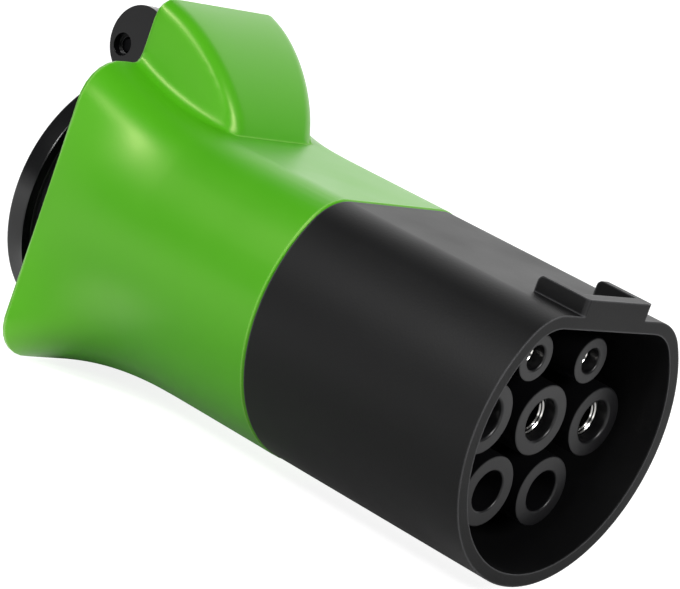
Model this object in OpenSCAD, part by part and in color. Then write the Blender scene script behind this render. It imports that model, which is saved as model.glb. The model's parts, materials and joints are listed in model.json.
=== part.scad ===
// Vehicle to load adapter: a seven-position vehicle connector in front, a household socket
// under a sprung lid behind, and a moulded housing that joins the two.
// The connector axis runs along Y with the mouth towards -Y, and Z is up.
// The origin lies on that axis, where the straight bore of the earth contact begins.

/* [Connector shell] */
// Radius of the round part of the shell
shell_r = 28.35; // [27.8:0.05:29]
// Height of the flat top above the connector axis
flat_h = 21.85; // [21:0.05:22.5]
// Radius of the two corners beside the flat top
shell_corner_r = 10.9; // [10:0.1:12]
// Thickness of the shell's wall
shell_wall = 2.4; // [2.1:0.1:2.6]
// Length of the shell from its rim to the seam with the housing
shell_len = 51; // [48:0.5:56]
// Distance from the rim back to the faces of the contact towers
face_recess = 6.8; // [5:0.1:9]
// Length of the spigot that the housing slides over
spigot_len = 14; // [13:0.5:16]
// Thickness of the ledge that the carrier is clamped to
ledge_t = 3; // [2.5:0.1:4]
// Width of that ledge
ledge_w = 3.6; // [3.2:0.1:4]

/* [Lock bracket] */
// Half the width of the bracket across its two rails
bracket_half = 9.6; // [8.5:0.1:10.5]
// Height of the bracket above the shell's flat top
bracket_h = 3.1; // [2:0.1:4.5]
// Length of the rails along the shell
bracket_len = 11.2; // [9:0.1:14]
// Thickness of each rail
rail_t = 1.5; // [1.2:0.1:2]
// Thickness of the front wall that the lock catches on
catch_t = 2.6; // [2:0.1:3.5]

/* [Contacts] */
// Distance between neighbouring power positions
contact_pitch = 16; // [15.9:0.1:16.6]
// Drop from the middle row to the two blank positions
blank_drop = 13.4; // [13.3:0.1:13.9]
// Rise from the middle row to the two signal contacts
signal_rise = 11.4; // [11.3:0.1:11.6]
// Distance of each signal contact from the centre line
signal_x = 8.2; // [8:0.1:8.5]
// Radius of the bore in a power contact
power_bore_r = 3.02; // [3:0.01:3.1]
// Radius of the bore in a signal contact
signal_bore_r = 1.52; // [1.5:0.01:1.6]
// Wall of a power contact round its bore
power_wall = 1.5; // [1.3:0.1:1.6]
// Wall of a signal contact round its bore
signal_wall = 1.1; // [0.9:0.1:1.2]
// Depth of the bores in the contacts
contact_bore_len = 24; // [20:0.5:27]
// Distance from a tower's face back to the contact in it
contact_recess = 3.2; // [2.8:0.1:4]
// Length of the crimp barrels behind the retainer
crimp_len = 7; // [6:0.5:8]
// Width of the slots between a contact's fingers
finger_slot = 0.6; // [0.5:0.1:0.8]

/* [Contact carrier] */
// Outer radius of a power tower
power_tower_r = 6.7; // [6.5:0.05:6.75]
// Outer radius of a signal tower
signal_tower_r = 4.4; // [4.3:0.05:4.5]
// Radius of the mouth of a power tower
power_mouth_r = 3.8; // [3.6:0.05:4]
// Radius of the mouth of a signal tower
signal_mouth_r = 2.2; // [2.1:0.05:2.4]
// Radius that rounds the mouth of a power tower
mouth_lip = 0.6; // [0.5:0.05:1]
// Thickness of the plate that carries the towers
carrier_t = 8; // [6:0.5:9]
// Thickness of the retainer that holds the contacts in
retainer_t = 3; // [2.5:0.1:4]
// Radius of the shoulder on a power contact
power_shoulder_r = 5.5; // [5.3:0.1:5.8]
// Radius of the shoulder on a signal contact
signal_shoulder_r = 3.4; // [3.2:0.1:3.6]
// Thickness of those shoulders
shoulder_t = 2.4; // [2:0.1:2.6]

/* [Housing] */
// Length of the adapter from the rim to the rear edge of the housing
body_len = 105.3; // [104:0.1:112]
// How far the housing stands proud of the shell
housing_proud = 0.15; // [0.1:0.05:0.5]
// Thickness of the housing's wall
housing_wall = 2.4; // [2:0.1:2.6]
// Half the width of the square rear flange
flange_half = 29.6; // [29.4:0.1:30.5]
// Radius of the flange's corners
flange_corner_r = 8; // [7:0.1:9]
// Length over which the housing flares out to the flange
flare_len = 30; // [27:0.5:31]
// Drop of the socket's centre below the connector axis
socket_drop = 2; // [1.6:0.1:2.4]
// Length of the hump over the lid's hinge
hump_len = 22.6; // [21:0.1:24]
// Height of the top of the hump above the connector axis
hump_h = 40.3; // [39.5:0.1:41]
// Half the width of the hump at its rear
hump_half = 16.6; // [16.2:0.1:17.5]
// Half the width of the hump at its foot
hump_foot_half = 10.3; // [9:0.1:11]
// Radius along the edges of the hump's top
hump_edge_r = 3.1; // [2:0.1:4]
// Size of the soft blend between the hump and the flange
hump_blend = 3.6; // [2.6:0.2:6]

/* [Socket] */
// Radius of the recess that a plug goes into
recess_r = 19.8; // [19.6:0.1:20]
// Depth of that recess
recess_depth = 17.5; // [16:0.1:18]
// Thickness of the cup's wall
cup_wall = 1.6; // [1.4:0.1:1.8]
// Thickness of the cup's floor
cup_floor = 3; // [2.5:0.1:3.5]
// Distance between the two pin holes
pin_spacing = 19; // [18.8:0.1:19.2]
// Radius of the pin holes in the floor
pin_hole_r = 2.7; // [2.6:0.05:2.9]
// Radius of the bore in a socket clip
clip_bore_r = 2.42; // [2.4:0.01:2.5]
// Wall of a socket clip round its bore
clip_wall = 1.1; // [0.9:0.1:1.2]
// Length of the tube of a socket clip
clip_len = 12; // [10:0.5:13]
// Half the width of the frame's plate
plate_half = 26.8; // [26.5:0.1:27]
// Thickness of the frame's plate
plate_t = 3; // [2.5:0.1:3.5]
// Thickness of the gasket under the plate
gasket_t = 0.8; // [0.6:0.1:1.2]
// Height of the round collar behind the plate
collar_h = 6.1; // [5.5:0.1:7]
// Wall of the collar
collar_wall = 2.1; // [1.8:0.1:2.3]
// Distance of each frame screw from the socket's centre lines
screw_half = 18.6; // [18.4:0.1:18.9]
// Width of the earth clip's strip
strip_w = 6; // [5:0.1:7]
// Thickness of that strip
strip_t = 0.8; // [0.6:0.1:1]

/* [Lid] */
// Radius of the lid
lid_r = 25.8; // [25:0.1:26.5]
// Thickness of the lid
lid_t = 4.9; // [4.6:0.1:5.4]
// Thickness of the lid's outer skin
lid_skin = 2; // [1.8:0.1:2.2]
// Height of the hinge pin above the connector axis
pin_h = 28.2; // [28:0.1:28.8]
// Radius of the hinge pin
hinge_pin_r = 1.5; // [1.3:0.1:1.6]
// Radius of the lid's hinge knuckles
knuckle_r = 3.6; // [3.5:0.1:3.8]
// Half the distance between the two hinge ears
ear_gap_half = 10; // [9:0.1:10.5]
// Thickness of each hinge ear
ear_t = 3; // [2.5:0.1:3.5]
// Radius of the round hinge ears
ear_r = 7.1; // [6.8:0.1:7.4]
// Thickness of the lid spring's wire
spring_wire = 0.9; // [0.7:0.1:1]
// Turns of the lid spring
spring_turns = 7; // [4:1:8]

/* [Fits] */
// Gap all round between parts that slide together
slip = 0.15; // [0.1:0.01:0.2]
// Gap between the hinge pin and the lid's knuckles
pin_play = 0.05; // [0.02:0.01:0.09]
// Gap between the lid and the parts it closes on
lid_play = 0.4; // [0.3:0.05:0.6]
// Radius of the screws' shanks
screw_r = 1.25; // [1:0.05:1.3]
// Conductor radius of a power wire with its sleeve
wire_r = 1.9; // [1.6:0.1:2]
// Radius of the signal wire with its sleeve
signal_wire_r = 0.8; // [0.6:0.05:0.9]

/* [Hidden] */
$fn = 64;

// Stations along the axis, from the mouth to the lid
rim_y = -(face_recess + contact_recess);
face_y = -contact_recess;
seam_y = rim_y + shell_len;
ledge_y = seam_y - ledge_t;
carrier_y = ledge_y - carrier_t;
retainer_y = seam_y + slip;
spigot_y = seam_y + spigot_len;
ring_y = spigot_y + slip;
ring_t = 3;
rear_y = rim_y + body_len;
flare_y = rear_y - flare_len;
hump_y = rear_y - hump_len;
plate_y = rear_y - plate_t;
pocket_y = plate_y - gasket_t;
collar_y = rear_y + collar_h;
recess_y = collar_y - recess_depth;
floor_y = recess_y - cup_floor;
lid_y = collar_y + lid_play;
lid_rear_y = lid_y + lid_t;
// The hinge pin lies inside the lid's thickness
pin_y = lid_y + 1.9;
socket_z = -socket_drop;

// Where each position of the connector lies across the axis
line_at = [contact_pitch, 0];
neutral_at = [-contact_pitch, 0];
earth_at = [0, 0];
blanks_at = [[-contact_pitch / 2, -blank_drop], [contact_pitch / 2, -blank_drop]];
pilot_at = [-signal_x, signal_rise];
proximity_at = [signal_x, signal_rise];
power_at = [line_at, neutral_at, earth_at];
signals_at = [pilot_at, proximity_at];

// Radii that follow from the fits
power_r = power_bore_r + power_wall;
signal_r = signal_bore_r + signal_wall;
power_cavity_r = power_r + slip;
signal_cavity_r = signal_r + slip;
cup_r = recess_r + cup_wall;
collar_r = cup_r + collar_wall;
clip_r = clip_bore_r + clip_wall;
power_crimp_r = wire_r + 1.2;
signal_crimp_r = signal_wire_r + 0.7;

// Front end of the contacts, ahead of the straight bores that begin at the origin's station
contact_y = -0.6;
crimp_y = retainer_y + retainer_t + crimp_len;

// The housing's bore over the shell's spigot, and the inward ring that is screwed to it
bore_inset = housing_wall - housing_proud;
ring_inset = bore_inset + 8.3;
spigot_inset = bore_inset + slip;
spigot_wall = 2.4;
spigot_inner_r = shell_r - spigot_inset - spigot_wall;
seal_y = seam_y + 6;
seal_w = 1.8;
seal_depth = 1.1;

// The pocket for the frame's plate, the hollow ahead of it and the bosses for its screws
plate_corner_r = 12;
cavity_half = plate_half - 1.8;
cavity_corner_r = 16;
boss_r = 3;
boss_len = 7;
// Sections that the hump is built from
hump_steps = 11;

// Terminals behind the cup, and the rear faces of the clips that they belong to
terminal_half = 3.2;
terminal_len = 7;
carrier_base_t = 4;
clip_rear_y = floor_y - clip_len;
earth_rear_y = floor_y - strip_t - 2 * slip;
clip_terminal_y = clip_rear_y - terminal_len;
earth_terminal_y = earth_rear_y - terminal_len + slip;

// Sleeve of the coding resistor, between the proximity contact and the earth terminal
sleeve_y = ring_y + ring_t + 1;
sleeve_z = socket_z + 9.5;

// The lid's inner edge, its gasket and the coil of its spring
rim_r = lid_r - 1.9;
gasket_r = recess_r + 0.3;
coil_half = 4.8;
coil_r = hinge_pin_r + 1;

// The hinge's ears and the web between them
hinge_half = ear_gap_half + ear_t;
web_y = rear_y + slip + 3;
ear_y = rear_y + 4.8;
ear_z = pin_h + 1.5;
// How far the pin's ends lie inside the ears' faces
pin_recess = 1.6;

// Heads of the small screws, and how deep their shanks reach
head_t = 1.2 * screw_r;
grip = 6;

// Screw places
retainer_screws_r = shell_r - shell_wall - ledge_w - 2.4;
retainer_screws_at = concat([[0, flat_h - 9.25]],
    [for (a = [-145, -35]) retainer_screws_r * [cos(a), sin(a)]]);
shell_screws_at = [for (a = [-135, -45, 28, 152]) (spigot_inner_r - 2.2) * [cos(a), sin(a)]];
frame_screws_at = [for (x = [-1, 1], z = [-1, 1]) [x * screw_half, socket_z + z * screw_half]];
carrier_screws_at = [for (x = [-1, 1]) [x * pin_spacing / 2, socket_z + 0.54 * cup_r]];

// Sends what is drawn upright in a plane across the axis to the stretch from y0 to y1
module slab(y0, y1) {
    translate([0, y1, 0]) rotate([90, 0, 0]) linear_extrude(y1 - y0) children();
}

// A round bar along Y
module bar(at, y0, y1, r) {
    translate([at[0], y0, at[1]]) rotate([-90, 0, 0]) cylinder(h = y1 - y0, r = r);
}

// A round bar along X
module cross_bar(x0, x1, y, z, r) {
    translate([x0, y, z]) rotate([0, 90, 0]) cylinder(h = x1 - x0, r = r);
}

// A solid turned about an axis along Y from a profile of radius and station
module turned(at, profile) {
    translate([at[0], 0, at[1]]) rotate([-90, 0, 0]) rotate_extrude() polygon(profile);
}

// Points on an arc, both ends included
function arc(cx, cy, r, from, to, steps = 4) =
    [for (i = [0:steps]) let (a = from + (to - from) * i / steps) [cx + r * cos(a), cy + r * sin(a)]];

// The round outline with a flat top, with its corners rounded
module d_face(r, flat, corner) {
    cz = flat - corner;
    cx = sqrt(pow(r - corner, 2) - cz * cz);
    a = atan2(cz, cx);
    far = 2 * r;
    intersection() {
        circle(r, $fn = 128);
        polygon([[0, 0], far * [cos(a), sin(a)], [far, -far], [-far, -far], far * [-cos(a), sin(a)]]);
    }
    for (side = [-1, 1])
        translate([side * cx, cz]) circle(corner);
    polygon([[0, 0], [cx, cz], [cx, flat], [-cx, flat], [-cx, cz]]);
}

// That outline inset from the outside of the shell
module shell_face(inset) {
    d_face(shell_r - inset, flat_h - inset, shell_corner_r - inset);
}

// A square with round corners
module rounded_square(half, corner) {
    straight = 2 * (half - corner);
    square([2 * half, straight], center = true);
    square([straight, 2 * half], center = true);
    for (x = [-1, 1], y = [-1, 1])
        translate([x, y] * (half - corner)) circle(corner);
}

// A screw along Y whose head's rear face is at head_y
module screw(at, head_y, len) {
    r = screw_r;
    head_r = 1.75 * r;
    difference() {
        union() {
            turned(at, concat([[0, head_y]], arc(head_r - 0.5, head_y - 0.5, 0.5, 90, 0),
                [[head_r, head_y - head_t], [0, head_y - head_t]]));
            bar(at, head_y - head_t - len, head_y - head_t, r);
        }
        translate([at[0], head_y, at[1]])
            for (turn = [0, 90])
                rotate([0, turn, 0]) cube([1.6 * r, 1.1 * r, 0.4 * r], center = true);
    }
}

// The plan of the bracket: a U that is open towards the rear
module bracket_plan() {
    nose = 0.8;
    difference() {
        union() {
            translate([-bracket_half, rim_y + nose]) square([2 * bracket_half, bracket_len - nose]);
            translate([nose - bracket_half, rim_y]) square([2 * (bracket_half - nose), nose]);
            for (side = [-1, 1])
                translate([side * (bracket_half - nose), rim_y + nose]) circle(nose);
        }
        translate([rail_t - bracket_half, rim_y + catch_t])
            square([2 * (bracket_half - rail_t), bracket_len]);
    }
}

// The bracket's side view, with its top rounded at the rear
module bracket_side() {
    soft = 1.2;
    top = bracket_h + shell_wall;
    difference() {
        square([bracket_len, top]);
        translate([bracket_len - soft, top - soft]) difference() {
            square(2 * soft);
            circle(soft);
        }
    }
}

// Black outer shell of the connector with its lock bracket and spigot
module connector_shell() {
    color("#2b2b2d") difference() {
        union() {
            slab(rim_y, seam_y) shell_face(0);
            slab(seam_y - 1, spigot_y) shell_face(spigot_inset);
            intersection() {
                translate([0, 0, flat_h - shell_wall])
                    linear_extrude(bracket_h + shell_wall) bracket_plan();
                translate([-bracket_half, rim_y, flat_h - shell_wall])
                    rotate([90, 0, 90]) linear_extrude(2 * bracket_half) bracket_side();
            }
        }
        slab(rim_y - 1, ledge_y) shell_face(shell_wall);
        slab(ledge_y - 1, seam_y + slip) shell_face(shell_wall + ledge_w);
        difference() {
            slab(seam_y, spigot_y + 1) shell_face(spigot_inset + spigot_wall);
            for (at = shell_screws_at)
                bar(at, retainer_y + retainer_t + head_t + slip, spigot_y + 1, boss_r);
        }
        for (at = shell_screws_at)
            bar(at, spigot_y - grip - 2, spigot_y + 1, screw_r);
        slab(seal_y - slip, seal_y + seal_w + slip) difference() {
            circle(2 * shell_r);
            shell_face(spigot_inset + seal_depth);
        }
    }
}

// Rubber ring in the groove of the spigot
module housing_seal() {
    color("#1c1c1c") slab(seal_y, seal_y + seal_w) difference() {
        shell_face(spigot_inset - slip + 0.03);
        shell_face(spigot_inset + seal_depth - 0.03);
    }
}

// One hollow tower with a rounded face, from its face to the carrier's plate
module tower(at, r, mouth_r, lip) {
    soft = 0.35;
    depth = contact_recess + contact_bore_len;
    turned(at, concat([[0, face_y + depth], [mouth_r, face_y + depth]],
        arc(mouth_r + lip, face_y + lip, lip, 180, 270, 3),
        arc(r - soft, face_y + soft, soft, 270, 360, 2), [[r, carrier_y + 1], [0, carrier_y + 1]]));
}

// Black carrier with seven towers that stand free inside the shell
module contact_carrier() {
    color("#222224") difference() {
        union() {
            for (at = power_at)
                tower(at, power_tower_r, power_mouth_r, mouth_lip);
            for (at = blanks_at)
                tower(at, power_tower_r, power_mouth_r, 0.7 * mouth_lip);
            for (at = signals_at)
                tower(at, signal_tower_r, signal_mouth_r, 0.8 * mouth_lip);
            slab(carrier_y, ledge_y - slip) shell_face(shell_wall + slip);
            slab(ledge_y - 1, seam_y) shell_face(shell_wall + ledge_w + slip);
        }
        for (at = power_at) {
            bar(at, contact_y - slip, seam_y + 1, power_cavity_r);
            bar(at, seam_y - shoulder_t - slip, seam_y + 1, power_shoulder_r + slip);
        }
        for (at = signals_at) {
            bar(at, contact_y - slip, seam_y + 1, signal_cavity_r);
            bar(at, seam_y - shoulder_t - slip, seam_y + 1, signal_shoulder_r + slip);
        }
        for (at = retainer_screws_at)
            bar(at, seam_y - grip - 1, seam_y + 1, screw_r);
    }
}

// A turned contact: slotted fingers round a bore, a shoulder, and a crimp barrel at the rear
module contact(at, bore_r, r, shoulder_r, crimp_r, crimp_bore_r) {
    lead = 0.6;
    difference() {
        turned(at, [[bore_r, 0], [bore_r, contact_bore_len], [0, contact_bore_len + 1],
            [0, crimp_y - crimp_len + 1], [crimp_bore_r, crimp_y - crimp_len + 1],
            [crimp_bore_r, crimp_y], [crimp_r, crimp_y], [crimp_r, seam_y],
            [shoulder_r, seam_y], [shoulder_r, seam_y - shoulder_t], [r, seam_y - shoulder_t],
            [r, contact_y + 0.4], [r - 0.4, contact_y], [bore_r + lead, contact_y]]);
        for (turn = [45, 135])
            translate([at[0], contact_bore_len / 2 + contact_y - 1, at[1]]) rotate([0, turn, 0])
                cube([3 * r, contact_bore_len - 4, finger_slot], center = true);
    }
}

module power_contact(at) {
    color("#c9c9c4")
        contact(at, power_bore_r, power_r, power_shoulder_r, power_crimp_r, wire_r + 0.05);
}

module signal_contact(at) {
    color("#c9c9c4")
        contact(at, signal_bore_r, signal_r, signal_shoulder_r, signal_crimp_r, signal_wire_r + 0.05);
}

module line_contact() { power_contact(line_at); }
module neutral_contact() { power_contact(neutral_at); }
module earth_contact() { power_contact(earth_at); }
module pilot_contact() { signal_contact(pilot_at); }
module proximity_contact() { signal_contact(proximity_at); }

// Plate that clamps the carrier to the ledge and keeps the contacts in
module contact_retainer() {
    color("#3a3a3c") difference() {
        slab(retainer_y, retainer_y + retainer_t) shell_face(spigot_inset + spigot_wall + slip);
        for (at = power_at)
            bar(at, seam_y, retainer_y + retainer_t + 1, power_crimp_r + slip);
        for (at = signals_at)
            bar(at, seam_y, retainer_y + retainer_t + 1, signal_crimp_r + slip);
        for (at = retainer_screws_at)
            bar(at, seam_y, retainer_y + retainer_t + 1, screw_r + slip);
    }
}

module retainer_screws() {
    color("#a9adb0") for (at = retainer_screws_at)
        screw(at, retainer_y + retainer_t + head_t, retainer_t + grip);
}

// Directions from the connector axis in which the housing's sections are measured,
// from straight down to straight up, closer together where the section turns
bearings = concat([for (b = [-90:5:-60]) b], [for (b = [-57:2.5:-32]) b], [for (b = [-29:5.8:29]) b],
    [for (b = [32:3:53]) b], [for (b = [55:1.5:73]) b], [76, 80, 85, 90]);

// Distance from the axis to an arc, measured along a bearing
function to_arc(cx, cz, r, b) =
    let (along = cx * cos(b) + cz * sin(b), off = cx * sin(b) - cz * cos(b))
    along + sqrt(max(r * r - off * off, 0));

// Distance from the axis to the shell's outline inset by t
function to_shell(b, t) =
    let (r = shell_r - t, flat = flat_h - t, corner = shell_corner_r - t, cz = flat - corner,
        cx = sqrt(pow(r - corner, 2) - cz * cz))
    b < atan2(cz, cx) ? r : b < atan2(flat, cx) ? to_arc(cx, cz, corner, b) : flat / sin(b);

// Distance from the axis to a round-cornered square about the socket's centre
function to_square(b, half, corner) =
    let (top = socket_z + half, low = socket_z - half, cx = half - corner)
    b > atan2(top, cx) ? top / sin(b)
    : b > atan2(top - corner, half) ? to_arc(cx, top - corner, corner, b)
    : b > atan2(low + corner, half) ? half / cos(b)
    : b > atan2(low, cx) ? to_arc(cx, low + corner, corner, b) : low / sin(b);

// Distance from the axis to the hump's outline of given half width and top
function to_hump(b, half, top, corner) =
    b < 30 ? 0 : b > atan2(top, half - corner) ? top / sin(b)
    : b > atan2(top - corner, half) ? to_arc(half - corner, top - corner, corner, b) : half / cos(b);

// The larger of two distances, with a soft blend where they are close
function soft_max(p, q, blend) =
    let (near = blend <= 0 ? 0 : max(blend - abs(p - q), 0) / blend)
    max(p, q) + near * near * blend / 4;

function share(y, from, to) = min(max((y - from) / (to - from), 0), 1);

// How far the section has gone from the shell's outline to the flange
function flare(y) = pow(share(y, flare_y, rear_y), 2.6);

// Rise of the hump from its foot to its full height
function rise(u) = pow(1 - pow(1 - u, 1.55), 0.68);

// Distance from the axis to the housing's surface set in by t
function to_housing(b, y, t, half, corner, f) =
    let (base = to_shell(b, t - housing_proud), wide = to_square(b, half, corner),
        plain = base + (wide - base) * f, u = share(y, hump_y, rear_y), h = rise(u),
        low = flat_h + housing_proud, top = low + (hump_h - low) * h - t,
        side = hump_foot_half + (hump_half - hump_foot_half) * pow(u, 0.55) - t)
    u <= 0 ? plain
        : soft_max(plain, to_hump(b, side, top, min(hump_edge_r, side / 2)),
            min(hump_blend, (top + t - low) / 2));

// A closed ring of points round the section at y, from a list of distances for the right half
function section(y, distances) =
    let (n = len(bearings))
    concat([for (i = [0:n - 1]) [distances[i] * cos(bearings[i]), y, distances[i] * sin(bearings[i])]],
        [for (i = [n - 2:-1:1]) [-distances[i] * cos(bearings[i]), y, distances[i] * sin(bearings[i])]]);

function outer_section(y, edge = 0) =
    section(y, [for (b = bearings) to_housing(b, y, 0, flange_half, flange_corner_r, flare(y)) - edge]);

function cavity_section(y) =
    section(y, [for (b = bearings) to_housing(b, y, housing_wall, cavity_half, cavity_corner_r, flare(y))]);

function bore_section(y, t) = section(y, [for (b = bearings) to_shell(b, t)]);

function pocket_section(y) =
    section(y, [for (b = bearings) to_square(b, plate_half + slip, plate_corner_r + slip)]);

// A ring-shaped solid through closed sections, the last of which joins the first
module ring_loft(sections) {
    m = len(sections);
    n = len(sections[0]);
    faces = [for (j = [0:m - 1], i = [0:n - 1])
        let (a = j * n + i, b = j * n + (i + 1) % n, k = (j + 1) % m, c = k * n + (i + 1) % n, d = k * n + i)
        each [[a, b, c], [a, c, d]]];
    polyhedron([for (s = sections) each s], faces);
}

// Green moulded housing: the shell's outline flares to a square flange, with a hump for the hinge
module rear_housing() {
    edge = 0.6;
    stages = [for (i = [1:hump_steps]) pow(i / hump_steps, 1.7)];
    ring_end = ring_y + ring_t;
    inside = pocket_y - 0.01;
    outer = concat([outer_section(seam_y, edge), outer_section(seam_y + edge)],
        [for (i = [0:2]) outer_section(flare_y + (hump_y - flare_y) * i / 2)],
        [for (u = stages) if (u < 0.96) outer_section(hump_y + hump_len * u)],
        [outer_section(rear_y - edge), outer_section(rear_y, edge)]);
    pocket = [pocket_section(rear_y), pocket_section(pocket_y)];
    cavity = [for (i = [hump_steps - 1:-1:2]) let (y = hump_y + hump_len * stages[i - 1])
        if (y < pocket_y - 2) cavity_section(y)];
    color("#5fae33") difference() {
        union() {
            ring_loft(concat(outer, pocket, [plain_cavity(pocket_y), plain_cavity(inside),
                cavity_section(inside - 0.4)], cavity, [cavity_section(hump_y), cavity_section(flare_y),
                bore_section(ring_end, bore_inset), bore_section(ring_end, ring_inset),
                bore_section(ring_y, ring_inset), bore_section(ring_y, bore_inset),
                bore_section(seam_y, bore_inset)]));
            for (at = frame_screws_at)
                bar(at, pocket_y - boss_len, pocket_y, boss_r);
        }
        for (at = shell_screws_at)
            bar(at, ring_y - 1, ring_end + 1, screw_r + slip);
        for (at = frame_screws_at)
            bar(at, pocket_y - boss_len - 1, pocket_y + 1, screw_r);
    }
}
function plain_cavity(y) = section(y, [for (b = bearings)
    to_square(b, cavity_half, cavity_corner_r)]);

module shell_screws() {
    color("#a9adb0") for (at = shell_screws_at)
        screw(at, ring_y + ring_t + head_t, ring_t + grip);
}

// Black frame of the socket: plate, collar, the cup that a plug goes into and the hinge's ears
module socket_frame() {
    web_top = pin_h + 5.5;
    ear_foot_z = socket_z + recess_r;
    centre = [0, socket_z];
    rib_x = recess_r + 0.8;
    rib_r = 3;
    color("#262628") difference() {
        union() {
            slab(plate_y, rear_y) translate(centre) rounded_square(plate_half, plate_corner_r);
            bar(centre, rear_y - 1, collar_y, collar_r);
            bar(centre, floor_y, rear_y, cup_r);
            slab(rear_y - 1, web_y) translate([-hinge_half, ear_foot_z])
                square([2 * hinge_half, web_top - ear_foot_z]);
            for (x = [-hinge_half, ear_gap_half]) {
                cross_bar(x, x + ear_t, ear_y, ear_z, ear_r);
                translate([x, rear_y - 1, ear_foot_z]) cube([ear_t, ear_y - rear_y + 2, ear_z - ear_foot_z]);
            }
        }
        difference() {
            bar(centre, recess_y, collar_y + 1, recess_r);
            for (side = [-1, 1])
                bar([side * rib_x, socket_z], recess_y - 1, collar_y - 2, rib_r);
        }
        translate([-shell_r, plate_y - ear_r, socket_z + plate_half])
            cube([2 * shell_r, rear_y + slip - plate_y + ear_r, 20]);
        cross_bar(-shell_r, shell_r, pin_y, pin_h, hinge_pin_r + 0.02);
        for (x = [-hinge_half - 1, hinge_half - pin_recess])
            cross_bar(x, x + pin_recess + 1, pin_y, pin_h, hinge_pin_r + 0.65);
        for (side = [-1, 1]) {
            bar([side * pin_spacing / 2, socket_z], floor_y - 1, recess_y + 1, pin_hole_r);
            translate([-strip_w / 2 - slip, floor_y - 1, socket_z + side * cup_r - 3.5])
                cube([strip_w + 2 * slip, cup_floor + 15, 7]);
        }
        for (at = carrier_screws_at)
            bar(at, floor_y - 1, recess_y - 0.6, screw_r);
        for (at = frame_screws_at)
            bar(at, plate_y - 1, rear_y + 1, screw_r + slip);
    }
}

// Rubber gasket between the housing's ledge and the frame's plate
module frame_gasket() {
    color("#1c1c1c") slab(pocket_y, plate_y) translate([0, socket_z]) difference() {
        rounded_square(plate_half, plate_corner_r);
        rounded_square(cavity_half, cavity_corner_r);
        for (x = [-1, 1], z = [-1, 1])
            translate([x, z] * screw_half) circle(boss_r);
    }
}

module frame_screws() {
    color("#a9adb0") for (at = frame_screws_at)
        screw(at, rear_y + head_t, plate_t + gasket_t + grip);
}

// Insulating carrier behind the cup's floor, with a chamber for each clip
module clip_carrier() {
    chamber_r = clip_r + slip + 1.3;
    color("#55565a") difference() {
        union() {
            bar([0, socket_z], floor_y - carrier_base_t, floor_y, cup_r - 0.4);
            for (side = [-1, 1])
                bar([side * pin_spacing / 2, socket_z], floor_y - clip_len, floor_y - 1, chamber_r);
        }
        for (side = [-1, 1])
            bar([side * pin_spacing / 2, socket_z], floor_y - clip_len - 1, floor_y + 1, clip_r + slip);
        translate([-strip_w / 2 - slip, floor_y - strip_t - 2 * slip, socket_z - 2 * cup_r])
            cube([strip_w + 2 * slip, strip_t + 1, 4 * cup_r]);
        for (side = [-1, 1])
            translate([-strip_w / 2 - slip, floor_y - carrier_base_t - 1, socket_z + side * cup_r - 3.5])
                cube([strip_w + 2 * slip, carrier_base_t + 2, 7]);
        translate([-terminal_half - slip, floor_y - carrier_base_t - 1, socket_z - terminal_half - slip])
            cube([2 * (terminal_half + slip), carrier_base_t + 2, 2 * (terminal_half + slip)]);
        for (at = carrier_screws_at)
            bar(at, floor_y - carrier_base_t - 1, floor_y + 1, screw_r + slip);
    }
}

module carrier_screws() {
    color("#a9adb0") for (at = carrier_screws_at)
        mirror([0, 1, 0]) screw(at, head_t + carrier_base_t - floor_y, carrier_base_t + 2.2);
}

// Terminal block about a centre line, with a hole for the wire and one for its screw
module terminal(at, y0) {
    difference() {
        translate([at[0] - terminal_half, y0, at[1] - terminal_half])
            cube([2 * terminal_half, terminal_len, 2 * terminal_half]);
        bar(at, y0 - 1, y0 + terminal_len - 1.5, wire_r + 0.05);
        translate([at[0], y0 + terminal_len / 2 - 0.5, at[1]])
            cylinder(h = terminal_half + 1, r = screw_r);
    }
}

// Brass clip that holds a plug's pin, with its terminal behind
module clip(at) {
    color("#c6a24c") difference() {
        union() {
            bar(at, clip_rear_y - 0.5, floor_y - slip, clip_r);
            terminal(at, clip_terminal_y);
        }
        bar(at, clip_rear_y + 1, floor_y + 1, clip_bore_r);
        translate([at[0] - clip_r - 1, clip_rear_y + 3, at[1] - 0.4])
            cube([2 * clip_r + 2, clip_len, 0.8]);
    }
}

module line_clip() { clip([pin_spacing / 2, socket_z]); }
module neutral_clip() { clip([-pin_spacing / 2, socket_z]); }

// Outline of a bent strip of thickness t that follows a path
function strip_outline(path, t) =
    let (n = len(path), normals = [for (i = [0:n - 1])
        let (d = path[min(i + 1, n - 1)] - path[max(i - 1, 0)]) [-d[1], d[0]] / norm(d)])
    concat([for (i = [0:n - 1]) path[i] + normals[i] * t / 2],
        [for (i = [n - 1:-1:0]) path[i] - normals[i] * t / 2]);

// Earth clip: one bent strip whose two springs reach into the cup through slots in its wall
module earth_clip() {
    back_y = floor_y - slip - strip_t / 2;
    out = recess_r + 0.8;
    bend = 1.4;
    spring = [for (p = [[0.74, 0.08], [0.66, 0.14], [0.54, 0.165], [0.43, 0.145], [0.09, 0.01], [0, 0]])
        [recess_y + p[0] * recess_depth, out - p[1] * recess_r]];
    half = concat(spring, arc(back_y + bend, out - bend, bend, 90, 180, 3));
    path = concat(half, [for (i = [len(half) - 1:-1:0]) [half[i][0], -half[i][1]]]);
    color("#b9bcbe") {
        translate([-strip_w / 2, 0, socket_z]) rotate([90, 0, 90])
            linear_extrude(strip_w) polygon(strip_outline(path, strip_t));
        terminal([0, socket_z], earth_terminal_y);
    }
}

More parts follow.
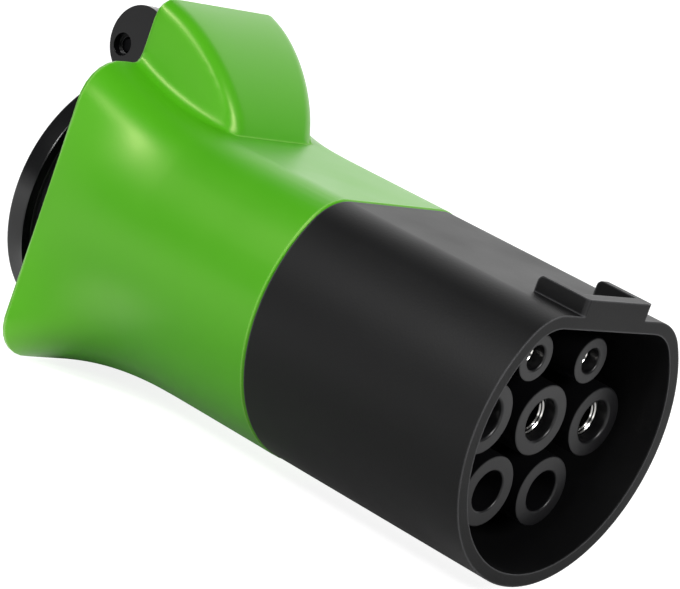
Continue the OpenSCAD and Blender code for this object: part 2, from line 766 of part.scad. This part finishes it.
// Grub screws that clamp the wires in the three terminals
module terminal_screws() {
    places = [[-pin_spacing / 2, clip_terminal_y], [pin_spacing / 2, clip_terminal_y], [0, earth_terminal_y]];
    color("#a9adb0") for (p = places)
        translate([p[0], p[1] + terminal_len / 2 - 0.5, socket_z]) difference() {
            translate([0, 0, wire_r + slip]) cylinder(h = terminal_half - wire_r - slip, r = screw_r - 0.02);
            translate([0, 0, terminal_half]) cube([4 * screw_r, 0.4 * screw_r, 0.8 * screw_r], center = true);
        }
}

// Round black lid, hollow inside, with a tongue and knuckles for the hinge and a finger tab
module socket_lid() {
    skin_y = lid_rear_y - lid_skin;
    dome = 0.4;
    soft = 0.8;
    edge_y = lid_rear_y - dome;
    tongue_half = ear_gap_half - 0.4;
    profile = concat([[0, skin_y - dome], [gasket_r - 0.9, skin_y - dome],
        [gasket_r - 0.9, skin_y - 1.5], [gasket_r - 0.1, skin_y - 1.5], [gasket_r - 0.1, skin_y - dome],
        [rim_r, skin_y - dome], [rim_r, lid_y]],
        arc(lid_r - 0.4, lid_y + 0.4, 0.4, 270, 360, 2), arc(lid_r - soft, edge_y - soft, soft, 0, 80, 4),
        [for (i = [5:-1:0]) let (r = (lid_r - 2) * i / 6) [r, lid_rear_y - dome * pow(r / lid_r, 2)]]);
    color("#2e2e30") difference() {
        union() {
            turned([0, socket_z], profile);
            slab(lid_rear_y - dome - 2, lid_rear_y - dome - 0.3)
                translate([0, socket_z - lid_r + 4.4]) circle(7);
            slab(pin_y + 0.8, lid_rear_y - dome) translate([-tongue_half, socket_z + 19])
                square([2 * tongue_half, pin_h - socket_z - 19]);
            for (x = [-tongue_half, coil_half])
                cross_bar(x, x + tongue_half - coil_half, pin_y, pin_h, knuckle_r);
        }
        translate([-coil_half, pin_y - knuckle_r, pin_h - knuckle_r - 0.2])
            cube([2 * coil_half, 3 * knuckle_r, 3 * knuckle_r]);
        cross_bar(-shell_r, shell_r, pin_y, pin_h, hinge_pin_r + pin_play);
        cross_bar(-coil_half - 3, 0, pin_y + coil_r, pin_h, spring_wire / 2 + 0.1);
    }
}

// Rubber ring inside the lid that closes on the collar
module lid_gasket() {
    gasket_y = lid_rear_y - lid_skin - 0.6;
    color("#1c1c1c") slab(collar_y + 0.3, gasket_y) translate([0, socket_z]) difference() {
        circle(rim_r - 0.1);
        circle(gasket_r);
    }
}

// Steel hinge pin pressed into the two ears
module hinge_pin() {
    half = hinge_half - pin_recess;
    color("#b9bcbe") translate([-half, pin_y, pin_h]) rotate([0, 90, 0]) rotate_extrude()
        polygon([[0, 0], [hinge_pin_r - 0.3, 0], [hinge_pin_r, 0.3], [hinge_pin_r, 2 * half - 0.3],
            [hinge_pin_r - 0.3, 2 * half], [0, 2 * half]]);
}

// A round cord swept along a path, with its ring turned to the given cross direction
module sweep(path, r, across, sides = 8) {
    n = len(path);
    rings = [for (i = [0:n - 1])
        let (d = path[min(i + 1, n - 1)] - path[max(i - 1, 0)], u = cross(d, across) / norm(cross(d, across)),
            v = cross(u, d) / norm(cross(u, d)))
        for (k = [0:sides - 1]) path[i] + r * (cos(360 * k / sides) * u + sin(360 * k / sides) * v)];
    last = (n - 1) * sides;
    polyhedron(rings, concat([[for (k = [sides - 1:-1:0]) k]], [[for (k = [0:sides - 1]) last + k]],
        [for (i = [0:n - 2], k = [0:sides - 1]) let (a = i * sides + k, b = i * sides + (k + 1) % sides)
            each [[a, b, a + sides], [b, b + sides, a + sides]]]));
}

// Torsion spring: its coil lies round the pin, one end in a knuckle and one leg against the web
module lid_spring() {
    steps = 14;
    turn = 360 * spring_turns - 180;
    count = round(turn / 360 * steps);
    x0 = -coil_half + spring_wire / 2 + 0.1;
    x1 = coil_half - spring_wire / 2 - 0.3;
    leg_y = web_y + spring_wire / 2 + 0.1;
    coil = [for (i = [0:count]) let (a = turn * i / count)
        [x0 + (x1 - x0) * i / count, pin_y + coil_r * cos(a), pin_h + coil_r * sin(a)]];
    color("#b9bcbe") {
        sweep(concat(coil, [[x1, pin_y - coil_r, pin_h - 2], [x1, leg_y, pin_h - 5]]),
            spring_wire / 2, [1, 0, 0]);
        cross_bar(x0 - 2.6, x0 + 0.1, pin_y + coil_r, pin_h, spring_wire / 2);
    }
}

// Points on a smooth curve that leaves a and reaches b along the axis
function lead(a, b, steps = 10) =
    let (d = [0, (b[1] - a[1]) / 2, 0])
    [for (i = [0:steps]) let (t = i / steps, s = 1 - t)
        s * s * s * a + 3 * s * s * t * (a + d) + 3 * s * t * t * (b - d) + t * t * t * b];

// A wire from inside a contact's crimp barrel to a place given, which it passes straight by some length
module wire(from, to, r, past) {
    start = [from[0], crimp_y, from[1]];
    sweep(concat([start - [0, crimp_len - 1.5, 0]], lead(start, to), [to + [0, past, 0]]), r, [1, 0, 0]);
}

// A power wire that ends inside a terminal
module power_wire(from, at, y) {
    wire(from, [at[0], y, at[1]], wire_r, terminal_len - 2);
}

module line_wire() {
    color("#7a4a2c") power_wire(line_at, [pin_spacing / 2, socket_z], clip_terminal_y);
}

module neutral_wire() {
    color("#2f62b5") power_wire(neutral_at, [-pin_spacing / 2, socket_z], clip_terminal_y);
}

module earth_wire() {
    color("#9fb52e") power_wire(earth_at, [0, socket_z], earth_terminal_y);
}

module proximity_wire() {
    color("#c8c8c8") wire(proximity_at, [0, sleeve_y - 1, sleeve_z], signal_wire_r, 0.9);
}

module coding_resistor() {
    len = 8;
    tail = earth_terminal_y;
    color("#3b6fa0") {
        bar([0, sleeve_z], sleeve_y, sleeve_y + len, 1.9 * signal_wire_r);
        sweep([[0, sleeve_y + len - 0.5, sleeve_z], [0, sleeve_y + len + 1, sleeve_z],
            [0, tail - 1.2, socket_z + wire_r + 1], [0, tail, socket_z + wire_r + 0.6]], 0.35, [1, 0, 0]);
    }
}

connector_shell();
contact_carrier();
contact_retainer();
retainer_screws();
line_contact();
neutral_contact();
earth_contact();
pilot_contact();
proximity_contact();
housing_seal();
rear_housing();
shell_screws();
frame_gasket();
socket_frame();
frame_screws();
clip_carrier();
carrier_screws();
earth_clip();
line_clip();
neutral_clip();
terminal_screws();
socket_lid();
lid_gasket();
hinge_pin();
lid_spring();
line_wire();
neutral_wire();
earth_wire();
proximity_wire();
coding_resistor();
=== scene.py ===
import json
import math

import bpy
from mathutils import Matrix, Vector

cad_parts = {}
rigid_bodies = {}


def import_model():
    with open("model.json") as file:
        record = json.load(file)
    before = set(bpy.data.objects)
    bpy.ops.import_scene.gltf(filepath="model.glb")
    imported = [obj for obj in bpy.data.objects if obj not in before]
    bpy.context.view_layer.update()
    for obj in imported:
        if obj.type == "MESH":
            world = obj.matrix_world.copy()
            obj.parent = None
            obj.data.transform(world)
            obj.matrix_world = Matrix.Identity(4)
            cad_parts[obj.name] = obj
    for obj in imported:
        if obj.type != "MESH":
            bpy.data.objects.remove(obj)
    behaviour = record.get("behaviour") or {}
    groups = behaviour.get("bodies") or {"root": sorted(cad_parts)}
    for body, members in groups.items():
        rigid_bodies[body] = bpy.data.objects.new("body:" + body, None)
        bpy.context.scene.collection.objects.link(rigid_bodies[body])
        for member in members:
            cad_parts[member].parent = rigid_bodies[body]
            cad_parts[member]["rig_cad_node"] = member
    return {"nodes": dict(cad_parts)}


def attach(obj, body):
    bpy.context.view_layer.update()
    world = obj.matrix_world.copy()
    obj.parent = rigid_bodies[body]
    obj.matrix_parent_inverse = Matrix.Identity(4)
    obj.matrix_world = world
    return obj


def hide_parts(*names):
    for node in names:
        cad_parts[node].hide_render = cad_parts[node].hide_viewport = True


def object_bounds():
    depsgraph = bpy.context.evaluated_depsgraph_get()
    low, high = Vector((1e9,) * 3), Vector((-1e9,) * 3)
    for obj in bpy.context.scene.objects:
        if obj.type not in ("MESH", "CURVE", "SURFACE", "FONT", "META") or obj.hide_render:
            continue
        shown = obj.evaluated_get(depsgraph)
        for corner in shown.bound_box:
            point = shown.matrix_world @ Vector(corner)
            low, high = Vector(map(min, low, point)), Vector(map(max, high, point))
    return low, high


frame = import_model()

cad_box = [list(corner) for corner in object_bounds()]

# Camera: a long lens to the left of the mouth and a little above it, rolled so that the
# adapter climbs to the upper left of the picture as in the photograph.
camera_right = Vector((0.61982431, -0.71205998, 0.32983088))
camera_up = Vector((-0.04383328, 0.38823442, 0.92051761))
camera_ahead = Vector((0.78351545, 0.58501677, -0.20942521))
camera_place = Vector((-0.479368, -0.311407, 0.130664))
bpy.ops.object.camera_add()
camera = bpy.context.object
camera.name = "camera"
camera.data.sensor_width = 36
camera.data.lens = 180
camera.data.clip_start = 0.01
camera_axes = Matrix((camera_right, camera_up, -camera_ahead)).transposed().to_4x4()
camera.matrix_world = Matrix.Translation(camera_place) @ camera_axes
bpy.context.scene.camera = camera

# Connector shell: one moulding of black glass-filled polyamide, with the lock bracket on its
# flat top and the spigot inside the housing. The tool's spark-eroded skin gives it a fine
# dull grain, and its free edges are broken so that they catch a thin line of light.
mm = 0.001
factor, first, second, blend = 0, 6, 7, 2  # a colour Mix node's inputs, and its output
noise_low, noise_high = 0.3, 0.7  # the stretch in which a noise mostly stays


def add_node(tree, kind, inputs=(), **settings):
    """Adds a node with its settings. Each input is a value or another node's output."""
    node = tree.nodes.new(kind)
    for name, value in settings.items():
        setattr(node, name, value)
    for key, value in dict(inputs).items():
        if isinstance(value, bpy.types.NodeSocket):
            tree.links.new(value, node.inputs[key])
        else:
            node.inputs[key].default_value = value
    return node


def linear(hex_colour):
    """The linear colour of an sRGB hex value, with alpha 1."""
    parts = [int(hex_colour[i:i + 2], 16) / 255 for i in (0, 2, 4)]
    return [c / 12.92 if c <= 0.04045 else ((c + 0.055) / 1.055) ** 2.4 for c in parts] + [1]


def start_material(name):
    """A new material, its tree, its one shader and the place on the object."""
    material = bpy.data.materials.new(name)
    material.use_nodes = True
    tree = material.node_tree
    place = add_node(tree, "ShaderNodeTexCoord").outputs["Object"]
    return material, tree, tree.nodes["Principled BSDF"], place


def moulded_plastic(name, dark, light, ior, gloss, dull, grain, depth, painted_edge_highlight=None):
    """Plastic with the tool's grain, and slow drifts of tone and roughness across it.

    Its roughness goes from gloss to dull. The grain's width and depth are in mm, and the
    width is some four times the real one, so that it shows. Where an edge highlight colour is
    given, the edges are painted paler, a painted highlight."""
    drift_size, edge_reach = 16 * mm, 0.5 * mm
    flush, turned, most_highlight = 1.0, 0.9, 0.8
    material, tree, shader, place = start_material(name)
    drift = add_node(tree, "ShaderNodeTexNoise",
                     {"Vector": place, "Scale": 1 / drift_size, "Detail": 3})
    tone = add_node(tree, "ShaderNodeMix", {factor: drift.outputs["Fac"], first: linear(dark),
                                            second: linear(light)}, data_type="RGBA")
    shine = add_node(tree, "ShaderNodeMapRange",
                     {"Value": drift.outputs["Fac"], "From Min": noise_low,
                      "From Max": noise_high, "To Min": gloss, "To Max": dull}, clamp=False)
    pits = add_node(tree, "ShaderNodeTexNoise",
                    {"Vector": place, "Scale": 1 / (grain * mm), "Detail": 2})
    skin = add_node(tree, "ShaderNodeBump", {"Height": pits.outputs["Fac"], "Strength": 0.6,
                                             "Distance": depth * mm})
    if painted_edge_highlight:
        # Painted highlight: an edge, where the face and a rounded copy of it point different ways,
        # is painted paler.
        facing = add_node(tree, "ShaderNodeNewGeometry").outputs["Normal"]
        rounded = add_node(tree, "ShaderNodeBevel", {"Radius": edge_reach}, samples=4)
        alike = add_node(tree, "ShaderNodeVectorMath", {0: facing, 1: rounded.outputs["Normal"]},
                         operation="DOT_PRODUCT")
        edge_highlight_mask = add_node(tree, "ShaderNodeMapRange",
                          {"Value": alike.outputs["Value"], "From Min": flush,
                           "From Max": turned, "To Max": most_highlight})
        tone = add_node(tree, "ShaderNodeMix",
                        {factor: edge_highlight_mask.outputs["Result"], first: tone.outputs[blend],
                         second: linear(painted_edge_highlight)}, data_type="RGBA")
    tree.links.new(tone.outputs[blend], shader.inputs["Base Color"])
    tree.links.new(shine.outputs["Result"], shader.inputs["Roughness"])
    tree.links.new(skin.outputs["Normal"], shader.inputs["Normal"])
    shader.inputs["IOR"].default_value = ior
    return material


def take_solid(node, name, material, edge=0.0, steps=2, body="adapter", join=True):
    """A merged copy of a solid with its edges rounded by edge millimetres, in its place.

    Flat faces are joined and shaded level, unless the solid is a net that gets smoothed."""
    weld_gap = 0.002 * mm
    flat_turn, edge_turn, smooth_turn = math.radians(0.2), math.radians(35), math.radians(32)
    bpy.ops.object.select_all(action="DESELECT")
    solid = frame["nodes"][node]
    bpy.context.view_layer.objects.active = solid
    solid.select_set(True)
    bpy.ops.object.duplicate()
    piece = bpy.context.object
    piece.name = piece.data.name = name
    del piece["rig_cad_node"]
    bpy.ops.mesh.customdata_custom_splitnormals_clear()
    bpy.ops.object.mode_set(mode="EDIT")
    bpy.ops.mesh.select_all(action="SELECT")
    bpy.ops.mesh.remove_doubles(threshold=weld_gap)
    if join:
        bpy.ops.mesh.dissolve_limited(angle_limit=flat_turn)
    bpy.ops.object.mode_set(mode="OBJECT")
    if edge:
        bevel = piece.modifiers.new("broken edges", "BEVEL")
        bevel.width = edge * mm
        bevel.segments = steps
        bevel.limit_method = "ANGLE"
        bevel.angle_limit = edge_turn
        bpy.ops.object.modifier_apply(modifier=bevel.name)
    bpy.ops.object.shade_smooth_by_angle(angle=smooth_turn)
    if join:
        level = piece.modifiers.new("level faces", "WEIGHTED_NORMAL")
        level.keep_sharp = True
        bpy.ops.object.modifier_apply(modifier=level.name)
    piece.data.materials.clear()
    piece.data.materials.append(material)
    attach(piece, body)
    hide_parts(node)
    return piece


# The paler colour on the shell's edges is a painted highlight, for the thin line of light they
# catch.
black_polyamide = moulded_plastic("black_polyamide_eroded", "0c0c0d", "111112", ior=1.35,
                                  gloss=0.46, dull=0.52, grain=0.45, depth=0.03, painted_edge_highlight="5e5e60")
take_solid("connector_shell", "shell", black_polyamide, edge=0.35, steps=3)

# Contact carrier: seven towers on a plate, moulded in smooth black polyamide. Their faces are
# polished in the tool, so the rounded lips show brighter rings than the walls between them.
black_polyamide_smooth = moulded_plastic("black_polyamide_smooth", "0c0c0e", "101012", ior=1.5,
                                         gloss=0.3, dull=0.38, grain=0.6, depth=0.01)
take_solid("contact_carrier", "tower_carrier", black_polyamide_smooth)

# Contacts: five sockets turned from copper alloy and silver plated, with slotted fingers. The
# lathe leaves fine rings round the axis, and the plate is bright where it isn't tarnished.
def turned_metal(name, bright, stained, polish, dull, painted_bore_shade=None):
    """Metal turned about the adapter's length: fine rings along Y and faint stains.

    The rings are about twice as far apart as a lathe's, so that they show. A painted shade in
    the bore is given by its middle, its half length and how far in it darkens, in mm, and a
    thin painted shadow ring just outside it parts the bright mouth in two."""
    ring_gap, ring_depth, stain_size = 0.25 * mm, 0.01 * mm, 3 * mm
    ring_stretch = (0.02, 1, 0.02)
    shadow_ring_offset, shadow_ring_half = 0.3, 0.1
    material, tree, shader, place = start_material(name)
    stretched = add_node(tree, "ShaderNodeMapping", {"Vector": place, "Scale": ring_stretch})
    rings = add_node(tree, "ShaderNodeTexNoise", {"Vector": stretched.outputs["Vector"],
                                                  "Scale": 1 / ring_gap, "Detail": 2})
    skin = add_node(tree, "ShaderNodeBump", {"Height": rings.outputs["Fac"], "Strength": 0.5,
                                             "Distance": ring_depth})
    stain = add_node(tree, "ShaderNodeTexNoise",
                     {"Vector": place, "Scale": 1 / stain_size, "Detail": 4})
    tone = add_node(tree, "ShaderNodeMix", {factor: stain.outputs["Fac"], first: linear(bright),
                                            second: linear(stained)}, data_type="RGBA")
    shine = add_node(tree, "ShaderNodeMapRange",
                     {"Value": stain.outputs["Fac"], "From Min": noise_low,
                      "From Max": noise_high, "To Min": polish, "To Max": dull})
    if painted_bore_shade:
        bore_middle, half, fade = painted_bore_shade
        along = add_node(tree, "ShaderNodeSeparateXYZ", {"Vector": place}).outputs["Y"]
        offset = add_node(tree, "ShaderNodeMath", {0: along, 1: bore_middle * mm},
                          operation="SUBTRACT")
        distance = add_node(tree, "ShaderNodeMath", {0: offset.outputs["Value"]},
                            operation="ABSOLUTE").outputs["Value"]
        mouth = add_node(tree, "ShaderNodeMapRange",
                         {"Value": distance, "From Min": (half - fade) * mm, "From Max": half * mm})
        shadow_ring = add_node(tree, "ShaderNodeMath",
                          {0: distance, 1: (half + shadow_ring_offset) * mm, 2: shadow_ring_half * mm},
                          operation="COMPARE")
        lit = add_node(tree, "ShaderNodeMath",
                       {0: mouth.outputs["Result"], 1: shadow_ring.outputs["Value"]},
                       operation="SUBTRACT", use_clamp=True)
        # Painted shade: dark inside the bore, with the painted shadow ring in the bright mouth.
        tone = add_node(tree, "ShaderNodeMix",
                        {factor: lit.outputs["Value"], first: linear("17161a"),
                         second: tone.outputs[blend]}, data_type="RGBA")
    tree.links.new(tone.outputs[blend], shader.inputs["Base Color"])
    tree.links.new(shine.outputs["Result"], shader.inputs["Roughness"])
    tree.links.new(skin.outputs["Normal"], shader.inputs["Normal"])
    shader.inputs["Metallic"].default_value = 1
    return material


# The contacts' bores are painted dark inward from the mouths, a painted shade, and a thin painted
# shadow ring parts each bright mouth.
silver_plate = turned_metal("silver_plated_alloy", "fbfaf7", "e2e0da", polish=0.1, dull=0.2,
                            painted_bore_shade=(13, 13, 2))
for contact in ("line", "neutral", "earth", "pilot", "proximity"):
    take_solid(contact + "_contact", contact + "_socket_contact", silver_plate,
               edge=0.12)

# Retainer and screws: a dull plate of dark grey polyamide clamps the carrier to the shell's
# ledge. All screws are zinc-plated steel with a cross recess, a little duller than the contacts.
grey_polyamide = moulded_plastic("grey_polyamide", "3c3c3f", "444447", ior=1.53, gloss=0.45,
                                 dull=0.55, grain=0.6, depth=0.015)
take_solid("contact_retainer", "retainer_plate", grey_polyamide, edge=0.25)
zinc_plate = turned_metal("zinc_plated_steel", "c3c6c8", "9a9da0", polish=0.28, dull=0.42)
for group in ("retainer", "shell", "frame", "carrier", "terminal"):
    take_solid(group + "_screws", group + "_screw_set", zinc_plate, edge=0.06)

# Seals: rings of black rubber, moulded smooth and dusty, in the spigot's groove and under the
# frame's plate.
def rubber(name, dark, light, rough):
    """Rubber or a soft sleeve: nearly matt, with a faint bloom in patches."""
    patch_size, patch_depth = 5 * mm, 0.03 * mm
    material, tree, shader, place = start_material(name)
    bloom = add_node(tree, "ShaderNodeTexNoise",
                     {"Vector": place, "Scale": 1 / patch_size, "Detail": 5})
    tone = add_node(tree, "ShaderNodeMix", {factor: bloom.outputs["Fac"], first: linear(dark),
                                            second: linear(light)}, data_type="RGBA")
    skin = add_node(tree, "ShaderNodeBump", {"Height": bloom.outputs["Fac"], "Strength": 0.4,
                                             "Distance": patch_depth})
    tree.links.new(tone.outputs[blend], shader.inputs["Base Color"])
    tree.links.new(skin.outputs["Normal"], shader.inputs["Normal"])
    shader.inputs["Roughness"].default_value = rough
    return material


black_rubber = rubber("black_rubber", "141414", "1f1f1e", rough=0.7)
take_solid("housing_seal", "spigot_ring", black_rubber, edge=0.3)
take_solid("frame_gasket", "plate_gasket", black_rubber, edge=0.15)

# Rear housing: the green moulding that flares from the shell's outline to the square flange,
# with the hump over the hinge. Its skin is satin, so its crests carry soft pale highlights.
# The solid's facets are turned back into a net of four-sided faces and smoothed.
def smooth_loft(piece):
    """Smooths a faceted loft by subdivision, and keeps its square inner edges."""
    bpy.ops.object.select_all(action="DESELECT")
    bpy.context.view_layer.objects.active = piece
    piece.select_set(True)
    bpy.ops.object.mode_set(mode="EDIT")
    bpy.ops.mesh.select_all(action="SELECT")
    bpy.ops.mesh.tris_convert_to_quads(face_threshold=math.radians(40),
                                       shape_threshold=math.radians(70))
    bpy.ops.mesh.select_all(action="DESELECT")
    bpy.ops.mesh.edges_select_sharp(sharpness=math.radians(30))
    bpy.ops.transform.edge_crease(value=1)
    bpy.ops.object.mode_set(mode="OBJECT")
    net = piece.modifiers.new("smooth net", "SUBSURF")
    net.levels = net.render_levels = 2
    bpy.ops.object.modifier_apply(modifier=net.name)
    bpy.ops.object.shade_smooth_by_angle(angle=math.radians(40))


# The paler colour on the housing's edges, the seam's rim among them, is a painted highlight.
green_abs = moulded_plastic("green_abs_satin", "4ab20f", "52b913", ior=1.7, gloss=0.34, dull=0.4,
                            grain=0.5, depth=0.01, painted_edge_highlight="9ee06a")
warm_sheen = (1, 0.97, 0.5, 1)  # the pigment in the skin warms the pale highlights
green_abs.node_tree.nodes["Principled BSDF"].inputs["Specular Tint"].default_value = warm_sheen
smooth_loft(take_solid("rear_housing", "green_housing", green_abs, join=False))

# Socket frame: black satin polycarbonate blend, with the two round ears of the hinge. It
# reflects a little more than the shell, because its tool is polished.
black_blend = moulded_plastic("black_pc_abs_satin", "0d0d0f", "111113", ior=1.5, gloss=0.22,
                              dull=0.28, grain=0.5, depth=0.012)
take_solid("socket_frame", "frame_and_ears", black_blend, edge=0.35, steps=3)

# Clip carrier and clips: a dull grey insulating carrier, moulded in thermoset, holds two
# bright clips of rolled brass and the bent strip of drawn steel that earths the plug's sides.
grey_thermoset = moulded_plastic("grey_thermoset", "5a5b5f", "636468", ior=1.55, gloss=0.5,
                                 dull=0.6, grain=0.7, depth=0.02)
take_solid("clip_carrier", "insulating_carrier", grey_thermoset, edge=0.25)
rolled_brass = turned_metal("rolled_brass", "d8b65e", "b48e3f", polish=0.25, dull=0.4)
take_solid("line_clip", "line_pin_clip", rolled_brass, edge=0.1)
take_solid("neutral_clip", "neutral_pin_clip", rolled_brass, edge=0.1)
spring_steel = turned_metal("drawn_spring_steel", "b9bcbe", "95989b", polish=0.25, dull=0.38)
take_solid("earth_clip", "earth_strip", spring_steel, edge=0.1)

# Lid: a round black cap of the frame's blend with a slightly domed face, a finger tab and two
# knuckles on a pin of blackened steel. Its torsion spring and its gasket turn with it.
black_lid = moulded_plastic("black_pc_abs_lid", "0d0d0f", "111113", ior=1.5, gloss=0.2, dull=0.26,
                            grain=0.5, depth=0.012)
take_solid("socket_lid", "lid_cap", black_lid, edge=0.25, steps=3, body="lid")
take_solid("lid_gasket", "lid_ring", black_rubber, edge=0.3, body="lid")
take_solid("lid_spring", "lid_torsion_spring", spring_steel, body="lid")
blackened_steel = turned_metal("blackened_steel", "1e1e20", "121213", polish=0.28, dull=0.42)
take_solid("hinge_pin", "lid_pin", blackened_steel, edge=0.1)

# Wires: sleeved copper from the crimp barrels to the terminals, in the usual colours, and the
# coding resistor in a blue shrink sleeve.
brown_sleeve = rubber("brown_pvc_sleeve", "6e4022", "7a4a2a", rough=0.45)
blue_sleeve = rubber("blue_pvc_sleeve", "245bb0", "2d66bd", rough=0.45)
white_sleeve = rubber("white_pvc_sleeve", "cfcfca", "dadad6", rough=0.45)
shrink_sleeve = rubber("blue_shrink_sleeve", "2f6398", "3a70a6", rough=0.5)
green_yellow = rubber("green_and_yellow_pvc_sleeve", "3c8a2a", "e3c92c", rough=0.45)
take_solid("line_wire", "brown_wire", brown_sleeve)
take_solid("neutral_wire", "blue_wire", blue_sleeve)
take_solid("earth_wire", "green_yellow_wire", green_yellow)
take_solid("proximity_wire", "white_wire", white_sleeve)
take_solid("coding_resistor", "resistor_in_sleeve", shrink_sleeve)

# Studio floor: white paper under the flange, plain white to the camera. Mirrored rays see a
# painted shadow beneath the adapter, bright paper beside it and dim paper again where the sheet
# ends, with one painted pool of light by the flange's lower corner.
floor_gap, floor_size = 0.2 * mm, 6
camera_glow, dim_paper, bright_paper, patch_glow = 0.85, 0.05, 0.85, 1.6
shade_middle = (0, 20 * mm, 0)
shade_edge, sheet_bright, sheet_edge = 70 * mm, 220 * mm, 320 * mm
patch_middle, patch_full, patch_edge = (-32 * mm, 102 * mm, 0), 6 * mm, 22 * mm
bpy.ops.mesh.primitive_plane_add(size=floor_size, location=(0, 0, cad_box[0][2] - floor_gap))
floor = bpy.context.object
floor.name = "floor"
paper = bpy.data.materials.new("white_paper_floor")
paper.use_nodes = True
paper_tree = paper.node_tree
path = add_node(paper_tree, "ShaderNodeLightPath")
mirrored = add_node(paper_tree, "ShaderNodeMath",
                    {0: path.outputs["Is Glossy Ray"], 1: path.outputs["Is Transmission Ray"]},
                    operation="MAXIMUM")
spot = add_node(paper_tree, "ShaderNodeTexCoord").outputs["Object"]
away = add_node(paper_tree, "ShaderNodeVectorMath", {0: spot, 1: shade_middle},
                operation="DISTANCE")
open_paper = add_node(paper_tree, "ShaderNodeMapRange",
                      {"Value": away.outputs["Value"], "From Min": shade_edge,
                       "From Max": sheet_bright, "To Min": dim_paper, "To Max": bright_paper})
sheet_end = add_node(paper_tree, "ShaderNodeMapRange",
                     {"Value": away.outputs["Value"], "From Min": sheet_bright,
                      "From Max": sheet_edge, "To Min": bright_paper, "To Max": dim_paper})
sheet = add_node(paper_tree, "ShaderNodeMath",
                 {0: open_paper.outputs["Result"], 1: sheet_end.outputs["Result"]},
                 operation="MINIMUM")
beside = add_node(paper_tree, "ShaderNodeVectorMath", {0: spot, 1: patch_middle},
                  operation="DISTANCE")
lit_patch = add_node(paper_tree, "ShaderNodeMapRange",
                     {"Value": beside.outputs["Value"], "From Min": patch_full,
                      "From Max": patch_edge, "To Min": patch_glow, "To Max": 0.0})
bright_sheet = add_node(paper_tree, "ShaderNodeMath",
                        {0: sheet.outputs["Value"], 1: lit_patch.outputs["Result"]},
                        operation="MAXIMUM")
faint = add_node(paper_tree, "ShaderNodeMath",
                 {0: mirrored.outputs["Value"], 1: bright_sheet.outputs["Value"]},
                 operation="MULTIPLY")
glow = add_node(paper_tree, "ShaderNodeMath",
                {0: path.outputs["Is Camera Ray"], 1: camera_glow, 2: faint.outputs["Value"]},
                operation="MULTIPLY_ADD")
paper_shader = paper_tree.nodes["Principled BSDF"]
paper_shader.inputs["Base Color"].default_value = linear("cccccc")
paper_shader.inputs["Roughness"].default_value = 0.9
paper_shader.inputs["Specular IOR Level"].default_value = 0
paper_shader.inputs["Emission Color"].default_value = (1, 1, 1, 1)
paper_tree.links.new(glow.outputs["Value"], paper_shader.inputs["Emission Strength"])
floor.data.materials.append(paper)

# Studio surround: white paper that is bright behind the adapter and to its right, a fainter
# card at its left, and shade elsewhere. Rays from the camera see plain white.
shade, wall_glow, card_glow = 0.08, 1.6, 0.55
toward_wall, wall_rim, wall_full = (0.85, 0.5, 0), 0.3, 0.8
toward_card, card_rim, card_full = -camera_right - camera_up * 0.3, 0.9, 1.0
world = bpy.data.worlds.new("studio")
bpy.context.scene.world = world
world.use_nodes = True
sky = world.node_tree
toward = add_node(sky, "ShaderNodeTexCoord").outputs["Generated"]
behind = add_node(sky, "ShaderNodeVectorMath", {0: toward, 1: toward_wall},
                  operation="DOT_PRODUCT")
surround = add_node(sky, "ShaderNodeMapRange",
                    {"Value": behind.outputs["Value"], "From Min": wall_rim,
                     "From Max": wall_full, "To Min": shade, "To Max": wall_glow})
aside = add_node(sky, "ShaderNodeVectorMath", {0: toward, 1: toward_card},
                 operation="DOT_PRODUCT")
left_card = add_node(sky, "ShaderNodeMapRange",
                     {"Value": aside.outputs["Value"], "From Min": card_rim,
                      "From Max": card_full, "To Min": shade, "To Max": card_glow})
tent = add_node(sky, "ShaderNodeMath",
                {0: surround.outputs["Result"], 1: left_card.outputs["Result"]},
                operation="MAXIMUM")
sky_path = add_node(sky, "ShaderNodeLightPath")
strength = add_node(sky, "ShaderNodeMath",
                    {0: tent.outputs["Value"], 1: sky_path.outputs["Is Camera Ray"]},
                    operation="MAXIMUM")
sky.links.new(strength.outputs["Value"], sky.nodes["Background"].inputs["Strength"])
sky.nodes["Background"].inputs["Color"].default_value = (1, 1, 1, 1)

# Studio lamps: three soft boxes a metre from the adapter's middle, each given by direction,
# width and height in metres, and watts. The first two light the crests from the upper left,
# and the third shines into the mouth from the right.
middle = (Vector(cad_box[0]) + Vector(cad_box[1])) / 2
lamps = {
    "key_lamp": (camera_up * 0.6 - camera_right * 0.52 - camera_ahead * 0.6, 0.22, 0.16, 3.6),
    "crest_lamp": (camera_up * 0.4 - camera_right * 0.27 - camera_ahead * 0.88, 0.22, 0.16, 1.6),
    "front_lamp": (camera_right * 0.68 + camera_up * 0.1 - camera_ahead * 0.72, 0.3, 0.3, 5.6),
}
for lamp_name, (direction, width, height, power) in lamps.items():
    bpy.ops.object.light_add(type="AREA", location=middle + direction.normalized())
    lamp = bpy.context.object
    lamp.name = lamp_name
    lamp.data.shape = "RECTANGLE"
    lamp.data.size = width
    lamp.data.size_y = height
    lamp.data.energy = power
    lamp.rotation_euler = direction.to_track_quat("Z", "Y").to_euler()

bpy.context.scene.view_settings.view_transform = "Standard"

bpy.context.view_layer.update()
